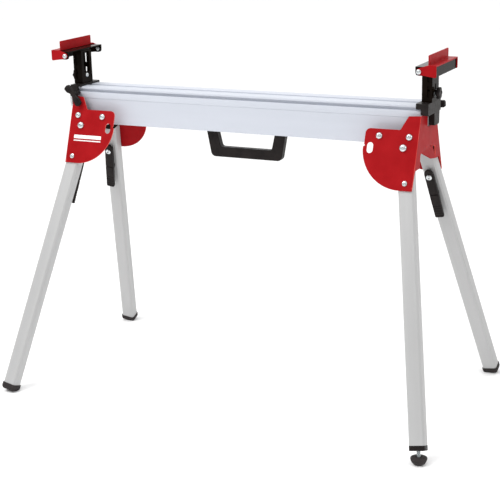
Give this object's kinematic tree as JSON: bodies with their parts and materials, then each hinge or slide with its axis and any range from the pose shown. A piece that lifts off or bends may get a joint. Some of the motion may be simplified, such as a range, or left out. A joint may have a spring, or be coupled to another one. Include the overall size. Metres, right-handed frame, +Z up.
{
  "type": "folding mitre saw stand",
  "caption": "Folding saw stand: extruded rail beam on four splayed locking legs, with a carry handle and sliding work supports with flip-up stops.",
  "frame": {"origin": "on the floor, under the middle of the beam", "axes": "+X along the beam towards the end with the levelling foot, +Y to the rear, +Z up"},
  "size_m": [1.2472, 0.6895, 0.955],
  "materials": {
    "aluminium_beam": "bright anodised extrusion",
    "aluminium_leg": "satin extrusion",
    "red_paint": "gloss powder coat",
    "black_paint": "semi-gloss powder coat",
    "black_plastic": "moulded, fine texture",
    "zinc": "bright zinc plate"
  },
  "bodies": {
    "frame": {"beam": "aluminium_beam", "carry_handle": "black_plastic", "bracket_right": "red_paint", "saddle_right": "black_paint", "plate_bolt_inner_front_right": "zinc", "plate_bolt_outer_front_right": "zinc", "pivot_bolt_front_right": "zinc", "lock_bush_front_right": "zinc", "plate_bolt_inner_rear_right": "zinc", "plate_bolt_outer_rear_right": "zinc", "pivot_bolt_rear_right": "zinc", "lock_bush_rear_right": "zinc", "bracket_left": "red_paint", "saddle_left": "black_paint", "plate_bolt_inner_front_left": "zinc", "plate_bolt_outer_front_left": "zinc", "pivot_bolt_front_left": "zinc", "lock_bush_front_left": "zinc", "plate_bolt_inner_rear_left": "zinc", "plate_bolt_outer_rear_left": "zinc", "pivot_bolt_rear_left": "zinc", "lock_bush_rear_left": "zinc"},
    "leg_front_right": {"leg_tube_front_right": "aluminium_leg", "foot_collar_front_right": "black_plastic"},
    "lever_front_right": {"lock_lever_front_right": "black_plastic"},
    "pin_front_right": {"lock_pin_front_right": "zinc"},
    "level_foot": {"level_stud": "zinc", "level_foot": "black_plastic"},
    "leg_rear_right": {"leg_tube_rear_right": "aluminium_leg", "foot_cap_rear_right": "black_plastic"},
    "lever_rear_right": {"lock_lever_rear_right": "black_plastic"},
    "pin_rear_right": {"lock_pin_rear_right": "zinc"},
    "leg_front_left": {"leg_tube_front_left": "aluminium_leg", "foot_cap_front_left": "black_plastic"},
    "lever_front_left": {"lock_lever_front_left": "black_plastic"},
    "pin_front_left": {"lock_pin_front_left": "zinc"},
    "leg_rear_left": {"leg_tube_rear_left": "aluminium_leg", "foot_cap_rear_left": "black_plastic"},
    "lever_rear_left": {"lock_lever_rear_left": "black_plastic"},
    "pin_rear_left": {"lock_pin_rear_left": "zinc"},
    "arm_right": {"arm_right": "aluminium_leg", "carriage_right": "black_plastic", "mast_right": "black_paint"},
    "lock_right": {"lock_handle_right": "black_plastic"},
    "head_right": {"head_right": "black_paint", "clamp_bolt_right": "zinc", "hinge_bolt_front_right": "zinc", "hinge_bolt_rear_right": "zinc"},
    "knob_right": {"clamp_knob_right": "black_plastic"},
    "stop_right": {"stop_right": "red_paint"},
    "arm_left": {"arm_left": "aluminium_leg", "carriage_left": "black_plastic", "mast_left": "black_paint"},
    "lock_left": {"lock_handle_left": "black_plastic"},
    "head_left": {"head_left": "black_paint", "clamp_bolt_left": "zinc", "hinge_bolt_front_left": "zinc", "hinge_bolt_rear_left": "zinc"},
    "knob_left": {"clamp_knob_left": "black_plastic"},
    "stop_left": {"stop_left": "red_paint"}
  },
  "joints": [
    {"name": "fold_front_right", "type": "hinge", "parent": "frame", "child": "leg_front_right", "pos_m": [0.472, -0.06868, 0.71833], "axis": [0, 0.9397, -0.342], "range_deg": [0, 85.4]},
    {"name": "lever_front_right", "type": "hinge", "parent": "leg_front_right", "child": "lever_front_right", "pos_m": [0.49766, -0.09667, 0.57125], "axis": [-0.9853, -0.0585, -0.1608], "range_deg": [0, 8], "stiffness_Nm_per_rad": 0.6, "springref_deg": -8.59},
    {"name": "pin_front_right", "type": "slide", "parent": "leg_front_right", "child": "pin_front_right", "axis": [0, 0.9397, -0.342], "range_m": [0, 0.0079]},
    {"name": "level_foot", "type": "slide", "parent": "leg_front_right", "child": "level_foot", "axis": [0.1711, -0.337, -0.9258], "range_m": [-0.005, 0.015]},
    {"name": "fold_rear_right", "type": "hinge", "parent": "frame", "child": "leg_rear_right", "pos_m": [0.472, 0.06868, 0.71833], "axis": [0, 0.9397, 0.342], "range_deg": [0, 85.4]},
    {"name": "lever_rear_right", "type": "hinge", "parent": "leg_rear_right", "child": "lever_rear_right", "pos_m": [0.49766, 0.09667, 0.57125], "axis": [0.9853, -0.0585, 0.1608], "range_deg": [0, 8], "stiffness_Nm_per_rad": 0.6, "springref_deg": -8.59},
    {"name": "pin_rear_right", "type": "slide", "parent": "leg_rear_right", "child": "pin_rear_right", "axis": [0, -0.9397, -0.342], "range_m": [0, 0.0079]},
    {"name": "fold_front_left", "type": "hinge", "parent": "frame", "child": "leg_front_left", "pos_m": [-0.472, -0.06868, 0.71833], "axis": [0, -0.9397, 0.342], "range_deg": [0, 99.85]},
    {"name": "lever_front_left", "type": "hinge", "parent": "leg_front_left", "child": "lever_front_left", "pos_m": [-0.49766, -0.09667, 0.57125], "axis": [-0.9853, 0.0585, 0.1608], "range_deg": [0, 8], "stiffness_Nm_per_rad": 0.6, "springref_deg": -8.59},
    {"name": "pin_front_left", "type": "slide", "parent": "leg_front_left", "child": "pin_front_left", "axis": [0, 0.9397, -0.342], "range_m": [0, 0.0079]},
    {"name": "fold_rear_left", "type": "hinge", "parent": "frame", "child": "leg_rear_left", "pos_m": [-0.472, 0.06868, 0.71833], "axis": [0, -0.9397, -0.342], "range_deg": [0, 99.85]},
    {"name": "lever_rear_left", "type": "hinge", "parent": "leg_rear_left", "child": "lever_rear_left", "pos_m": [-0.49766, 0.09667, 0.57125], "axis": [0.9853, 0.0585, -0.1608], "range_deg": [0, 8], "stiffness_Nm_per_rad": 0.6, "springref_deg": -8.59},
    {"name": "pin_rear_left", "type": "slide", "parent": "leg_rear_left", "child": "pin_rear_left", "axis": [0, -0.9397, -0.342], "range_m": [0, 0.0079]},
    {"name": "extend_right", "type": "slide", "parent": "frame", "child": "arm_right", "axis": [1, 0, 0], "range_m": [0, 0.65]},
    {"name": "lock_right", "type": "hinge", "parent": "arm_right", "child": "lock_right", "pos_m": [0.497, 0, 0.8095], "axis": [0, -1, 0], "range_deg": [0, 90]},
    {"name": "raise_right", "type": "slide", "parent": "arm_right", "child": "head_right", "axis": [0, 0, 1], "range_m": [0, 0.019]},
    {"name": "knob_right", "type": "hinge", "parent": "head_right", "child": "knob_right", "pos_m": [0.533, 0, 0.852], "axis": [1, 0, 0], "continuous": true},
    {"name": "flip_right", "type": "hinge", "parent": "head_right", "child": "stop_right", "pos_m": [0.51, 0, 0.916], "axis": [0, -1, 0], "range_deg": [0, 180]},
    {"name": "extend_left", "type": "slide", "parent": "frame", "child": "arm_left", "axis": [-1, 0, 0], "range_m": [0, 0.65]},
    {"name": "lock_left", "type": "hinge", "parent": "arm_left", "child": "lock_left", "pos_m": [-0.497, 0, 0.8095], "axis": [0, 1, 0], "range_deg": [0, 90]},
    {"name": "raise_left", "type": "slide", "parent": "arm_left", "child": "head_left", "axis": [0, 0, 1], "range_m": [0, 0.019]},
    {"name": "knob_left", "type": "hinge", "parent": "head_left", "child": "knob_left", "pos_m": [-0.533, 0, 0.852], "axis": [-1, 0, 0], "continuous": true},
    {"name": "flip_left", "type": "hinge", "parent": "head_left", "child": "stop_left", "pos_m": [-0.51, 0, 0.916], "axis": [0, 1, 0], "range_deg": [0, 180]}
  ],
  "couplings": [
    {"joint": "pin_front_right", "follows": "lever_front_right", "m_per_rad": 0.056},
    {"joint": "pin_rear_right", "follows": "lever_rear_right", "m_per_rad": 0.056},
    {"joint": "pin_front_left", "follows": "lever_front_left", "m_per_rad": 0.056},
    {"joint": "pin_rear_left", "follows": "lever_rear_left", "m_per_rad": 0.056}
  ]
}
